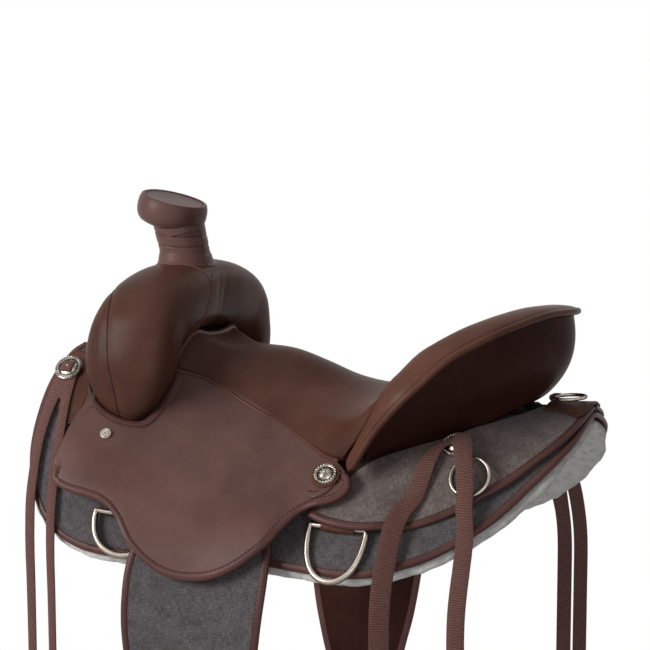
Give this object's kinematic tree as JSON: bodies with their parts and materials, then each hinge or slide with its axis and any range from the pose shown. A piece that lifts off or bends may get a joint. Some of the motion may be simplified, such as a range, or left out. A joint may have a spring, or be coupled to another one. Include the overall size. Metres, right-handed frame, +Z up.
{
  "type": "mule saddle",
  "caption": "Western mule saddle with swell fork, wrapped horn, leather seat and jockeys, fabric skirts with fleece, fenders with stirrups, rigging dees, rings and strings.",
  "frame": {"origin": "the point where the lining rests on the middle of the back, on the saddle's centre plane", "axes": "-X forward towards the animal's head, +Y to the off (right) side, +Z up"},
  "size_m": [0.6384, 0.5332, 0.9568],
  "materials": {
    "wood": "sealed",
    "leather": "smooth, oiled",
    "dark_leather": "smooth, dark oiled",
    "cloth": "woven nylon",
    "fleece": "woolly pile",
    "webbing": "ribbed webbing",
    "steel": "stainless, polished",
    "silver": "antiqued silver"
  },
  "bodies": {
    "saddle": {"tree_bar_near": "wood", "tree_bar_off": "wood", "tree_fork": "wood", "tree_cantle": "wood", "fork_cover": "leather", "horn_post": "steel", "horn_wrap": "leather", "horn_cap": "leather", "seat_cover": "leather", "ground_seat": "dark_leather", "cantle_roll": "leather", "cantle_back": "dark_leather", "seat_jockey_near": "leather", "seat_jockey_off": "leather", "skirt_near": "cloth", "skirt_off": "cloth", "fleece_near": "fleece", "fleece_off": "fleece", "rear_housing_near": "cloth", "rear_housing_off": "cloth", "centre_strip": "leather", "front_rigging_near": "leather", "front_rigging_off": "leather", "rear_rigging_near": "leather", "rear_rigging_off": "leather", "front_tab_near": "leather", "front_tab_off": "leather", "rosette_near": "leather", "rosette_off": "leather", "rosette_concho_near": "silver", "rosette_concho_off": "silver", "ring_keeper_near": "leather", "ring_keeper_off": "leather", "crupper_keeper": "leather", "rear_concho_near": "silver", "rear_concho_off": "silver"},
    "fender_leg_near": {"fender_near": "cloth", "stirrup_leather_near": "leather", "leather_buckle_near": "steel"},
    "fender_leg_off": {"fender_off": "cloth", "stirrup_leather_off": "leather", "leather_buckle_off": "steel"},
    "stirrup_set_near": {"stirrup_near": "dark_leather", "stirrup_bolt_near": "steel"},
    "stirrup_set_off": {"stirrup_off": "dark_leather", "stirrup_bolt_off": "steel"},
    "front_dee_near": {"front_dee_near": "steel"},
    "front_dee_off": {"front_dee_off": "steel"},
    "rear_dee_near": {"rear_dee_near": "steel"},
    "rear_dee_off": {"rear_dee_off": "steel"},
    "side_ring_near": {"side_ring_near": "steel"},
    "side_ring_off": {"side_ring_off": "steel"},
    "crupper_ring": {"crupper_ring": "steel"},
    "rear_string_near": {"rear_string_near": "webbing"},
    "rear_string_off": {"rear_string_off": "webbing"},
    "front_string_near": {"front_string_near": "webbing", "front_concho_near": "silver"},
    "front_string_off": {"front_string_off": "webbing", "front_concho_off": "silver"}
  },
  "joints": [
    {"name": "fender_swing_near", "type": "hinge", "parent": "saddle", "child": "fender_leg_near", "pos_m": [-0.055, -0.11909, -0.0195], "axis": [0, -0.9028, 0.43], "range_deg": [-8, 10]},
    {"name": "fender_swing_off", "type": "hinge", "parent": "saddle", "child": "fender_leg_off", "pos_m": [-0.055, 0.11909, -0.0195], "axis": [0, -0.9028, -0.43], "range_deg": [-8, 10]},
    {"name": "stirrup_turn_near", "type": "hinge", "parent": "fender_leg_near", "child": "stirrup_set_near", "pos_m": [-0.055, -0.23859, -0.5304], "axis": [1, 0, 0], "range_deg": [-35, 35]},
    {"name": "stirrup_turn_off", "type": "hinge", "parent": "fender_leg_off", "child": "stirrup_set_off", "pos_m": [-0.055, 0.23859, -0.5304], "axis": [1, 0, 0], "range_deg": [-35, 35]},
    {"name": "front_dee_lift_near", "type": "hinge", "parent": "saddle", "child": "front_dee_near", "pos_m": [-0.155, -0.20097, -0.09117], "axis": [-0.9031, 0.0656, 0.4243], "range_deg": [0, 2]},
    {"name": "front_dee_lift_off", "type": "hinge", "parent": "saddle", "child": "front_dee_off", "pos_m": [-0.155, 0.20097, -0.09117], "axis": [0.9031, 0.0656, -0.4243], "range_deg": [0, 2]},
    {"name": "rear_dee_lift_near", "type": "hinge", "parent": "saddle", "child": "rear_dee_near", "pos_m": [0.098, -0.17429, -0.08683], "axis": [-0.9998, -0.0201, 0.005], "range_deg": [0, 35]},
    {"name": "rear_dee_lift_off", "type": "hinge", "parent": "saddle", "child": "rear_dee_off", "pos_m": [0.098, 0.17429, -0.08683], "axis": [0.9998, -0.0201, -0.005], "range_deg": [0, 35]},
    {"name": "side_ring_lift_near", "type": "hinge", "parent": "saddle", "child": "side_ring_near", "pos_m": [0.2275, -0.1221, -0.00726], "axis": [-0.9997, -0.0147, -0.0217], "range_deg": [0, 30]},
    {"name": "side_ring_lift_off", "type": "hinge", "parent": "saddle", "child": "side_ring_off", "pos_m": [0.2275, 0.1221, -0.00726], "axis": [0.9997, -0.0147, 0.0217], "range_deg": [0, 30]},
    {"name": "crupper_ring_lift", "type": "hinge", "parent": "saddle", "child": "crupper_ring", "pos_m": [0.284, 0, 0.04455], "axis": [0, -1, 0], "range_deg": [0, 30]},
    {"name": "rear_string_lift_near", "type": "hinge", "parent": "saddle", "child": "rear_string_near", "pos_m": [0.2105, -0.09822, 0.0138], "axis": [-0.9995, -0.0069, -0.0305], "range_deg": [0, 30]},
    {"name": "rear_string_lift_off", "type": "hinge", "parent": "saddle", "child": "rear_string_off", "pos_m": [0.2105, 0.09822, 0.0138], "axis": [0.9995, -0.0069, 0.0305], "range_deg": [0, 30]},
    {"name": "front_string_lift_near", "type": "hinge", "parent": "saddle", "child": "front_string_near", "pos_m": [-0.281, -0.10198, 0.06404], "axis": [-0.9914, 0.0154, 0.1298], "range_deg": [0, 15]},
    {"name": "front_string_lift_off", "type": "hinge", "parent": "saddle", "child": "front_string_off", "pos_m": [-0.281, 0.10198, 0.06404], "axis": [0.9914, 0.0154, -0.1298], "range_deg": [0, 15]}
  ],
  "couplings": [
    {"joint": "side_ring_lift_near", "follows": "rear_string_lift_near", "ratio": 1},
    {"joint": "side_ring_lift_off", "follows": "rear_string_lift_off", "ratio": 1}
  ]
}
